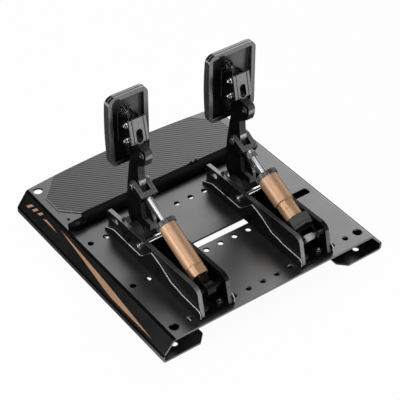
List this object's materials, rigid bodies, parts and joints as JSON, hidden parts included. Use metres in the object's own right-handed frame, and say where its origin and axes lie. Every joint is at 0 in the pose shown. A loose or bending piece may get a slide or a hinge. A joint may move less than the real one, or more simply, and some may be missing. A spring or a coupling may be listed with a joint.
{
  "type": "sim racing pedal set",
  "caption": "Two floor-hinged pedals with dampers on a folded base plate with a hole grid, side frames, heel panel and heel bar.",
  "frame": {"origin": "on the floor, under the middle of the base plate", "axes": "X+ to the driver's right, Y+ away from the driver, Z+ up"},
  "size_m": [0.388, 0.393, 0.282],
  "materials": {
    "base_plate": "satin powder coat",
    "heel_panel": "carbon-weave look, satin clear coat",
    "heel_bar": "matte moulded",
    "heel_bar_screws": "plated",
    "control_board": "solder mask",
    "channel_bolts": "plated",
    "channel_nuts": "plated",
    "throttle_channel": "satin powder coat",
    "throttle_plate_right": "satin coat",
    "throttle_plate_left": "satin coat",
    "throttle_pivot_shaft": "ground",
    "throttle_pivot_keepers": "brushed",
    "throttle_stop_bar": "polished",
    "throttle_stop_screws": "plated",
    "throttle_lower_pin": "polished",
    "throttle_sensor": "moulded",
    "throttle_arm": "satin coat",
    "throttle_bushings": "sintered",
    "throttle_magnet": "plated",
    "throttle_clevis_pin": "polished",
    "throttle_pad_bracket": "satin grey",
    "throttle_pad_bolts": "polished",
    "throttle_pad": "satin powder coat",
    "throttle_pad_screws": "plated",
    "throttle_clevis": "satin coat",
    "throttle_rod": "polished",
    "throttle_piston": "machined",
    "throttle_tube": "copper anodised",
    "throttle_collar": "black anodised",
    "throttle_spring": "spring steel",
    "throttle_jam_nut": "blackened",
    "throttle_rod_end": "blackened",
    "brake_channel": "satin powder coat",
    "brake_plate_right": "satin coat",
    "brake_plate_left": "satin coat",
    "brake_pivot_shaft": "ground",
    "brake_pivot_keepers": "brushed",
    "brake_stop_bar": "polished",
    "brake_stop_screws": "plated",
    "brake_lower_pin": "polished",
    "brake_arm": "satin coat",
    "brake_bushings": "sintered",
    "brake_clevis_pin": "polished",
    "brake_pad_bracket": "satin grey",
    "brake_pad_bolts": "polished",
    "brake_pad": "satin powder coat",
    "brake_pad_screws": "plated",
    "brake_clevis": "satin coat",
    "brake_rod": "polished",
    "brake_rod_nut": "polished",
    "brake_piston": "machined",
    "brake_tube": "copper anodised",
    "brake_collar": "black anodised",
    "brake_elastomers": "moulded",
    "brake_load_cell": "anodised",
    "brake_end_fork": "satin coat"
  },
  "bodies": {
    "base": {"base_plate": "base_plate", "heel_panel": "heel_panel", "heel_bar": "heel_bar", "heel_bar_screws": "heel_bar_screws", "control_board": "control_board", "channel_bolts": "channel_bolts", "channel_nuts": "channel_nuts", "throttle_channel": "throttle_channel", "throttle_plate_right": "throttle_plate_right", "throttle_plate_left": "throttle_plate_left", "throttle_pivot_shaft": "throttle_pivot_shaft", "throttle_pivot_keepers": "throttle_pivot_keepers", "throttle_stop_bar": "throttle_stop_bar", "throttle_stop_screws": "throttle_stop_screws", "throttle_lower_pin": "throttle_lower_pin", "throttle_sensor": "throttle_sensor", "brake_channel": "brake_channel", "brake_plate_right": "brake_plate_right", "brake_plate_left": "brake_plate_left", "brake_pivot_shaft": "brake_pivot_shaft", "brake_pivot_keepers": "brake_pivot_keepers", "brake_stop_bar": "brake_stop_bar", "brake_stop_screws": "brake_stop_screws", "brake_lower_pin": "brake_lower_pin"},
    "throttle_pedal": {"throttle_arm": "throttle_arm", "throttle_bushings": "throttle_bushings", "throttle_magnet": "throttle_magnet", "throttle_clevis_pin": "throttle_clevis_pin", "throttle_pad_bracket": "throttle_pad_bracket", "throttle_pad_bolts": "throttle_pad_bolts", "throttle_pad": "throttle_pad", "throttle_pad_screws": "throttle_pad_screws"},
    "throttle_damper": {"throttle_tube": "throttle_tube", "throttle_collar": "throttle_collar", "throttle_spring": "throttle_spring", "throttle_jam_nut": "throttle_jam_nut", "throttle_rod_end": "throttle_rod_end"},
    "throttle_plunger": {"throttle_clevis": "throttle_clevis", "throttle_rod": "throttle_rod", "throttle_piston": "throttle_piston"},
    "brake_pedal": {"brake_arm": "brake_arm", "brake_bushings": "brake_bushings", "brake_clevis_pin": "brake_clevis_pin", "brake_pad_bracket": "brake_pad_bracket", "brake_pad_bolts": "brake_pad_bolts", "brake_pad": "brake_pad", "brake_pad_screws": "brake_pad_screws"},
    "brake_damper": {"brake_tube": "brake_tube", "brake_collar": "brake_collar", "brake_elastomers": "brake_elastomers", "brake_load_cell": "brake_load_cell", "brake_end_fork": "brake_end_fork"},
    "brake_plunger": {"brake_clevis": "brake_clevis", "brake_rod": "brake_rod", "brake_rod_nut": "brake_rod_nut", "brake_piston": "brake_piston"}
  },
  "joints": [
    {"name": "throttle_press", "type": "hinge", "parent": "base", "child": "throttle_pedal", "pos_m": [0.0985, 0.0095, 0.056], "axis": [-1, 0, 0], "range_deg": [0, 15], "stiffness_Nm_per_rad": 12, "springref_deg": -8.59},
    {"name": "throttle_damper_swing", "type": "hinge", "parent": "base", "child": "throttle_damper", "pos_m": [0.0985, 0.1675, 0.063], "axis": [-1, 0, 0], "range_deg": [0, 2.97]},
    {"name": "throttle_plunger_swing", "type": "hinge", "parent": "throttle_pedal", "child": "throttle_plunger", "pos_m": [0.0985, 0.0065, 0.1405], "axis": [-1, 0, 0], "range_deg": [-12.23, 0], "deforming": ["throttle_spring"]},
    {"name": "brake_press", "type": "hinge", "parent": "base", "child": "brake_pedal", "pos_m": [-0.0765, 0.0095, 0.056], "axis": [-1, 0, 0], "range_deg": [0, 7], "stiffness_Nm_per_rad": 250, "springref_deg": -1.15},
    {"name": "brake_damper_swing", "type": "hinge", "parent": "base", "child": "brake_damper", "pos_m": [-0.0765, 0.1675, 0.063], "axis": [-1, 0, 0], "range_deg": [0, 1.55]},
    {"name": "brake_plunger_swing", "type": "hinge", "parent": "brake_pedal", "child": "brake_plunger", "pos_m": [-0.0765, 0.0065, 0.1405], "axis": [-1, 0, 0], "range_deg": [-5.65, 0], "deforming": ["brake_elastomers"]}
  ],
  "couplings": [
    {"joint": "throttle_damper_swing", "follows": "throttle_press", "ratio": 0.1913},
    {"joint": "throttle_plunger_swing", "follows": "throttle_press", "ratio": -0.8087},
    {"joint": "brake_damper_swing", "follows": "brake_press", "ratio": 0.2076},
    {"joint": "brake_plunger_swing", "follows": "brake_press", "ratio": -0.7924}
  ]
}
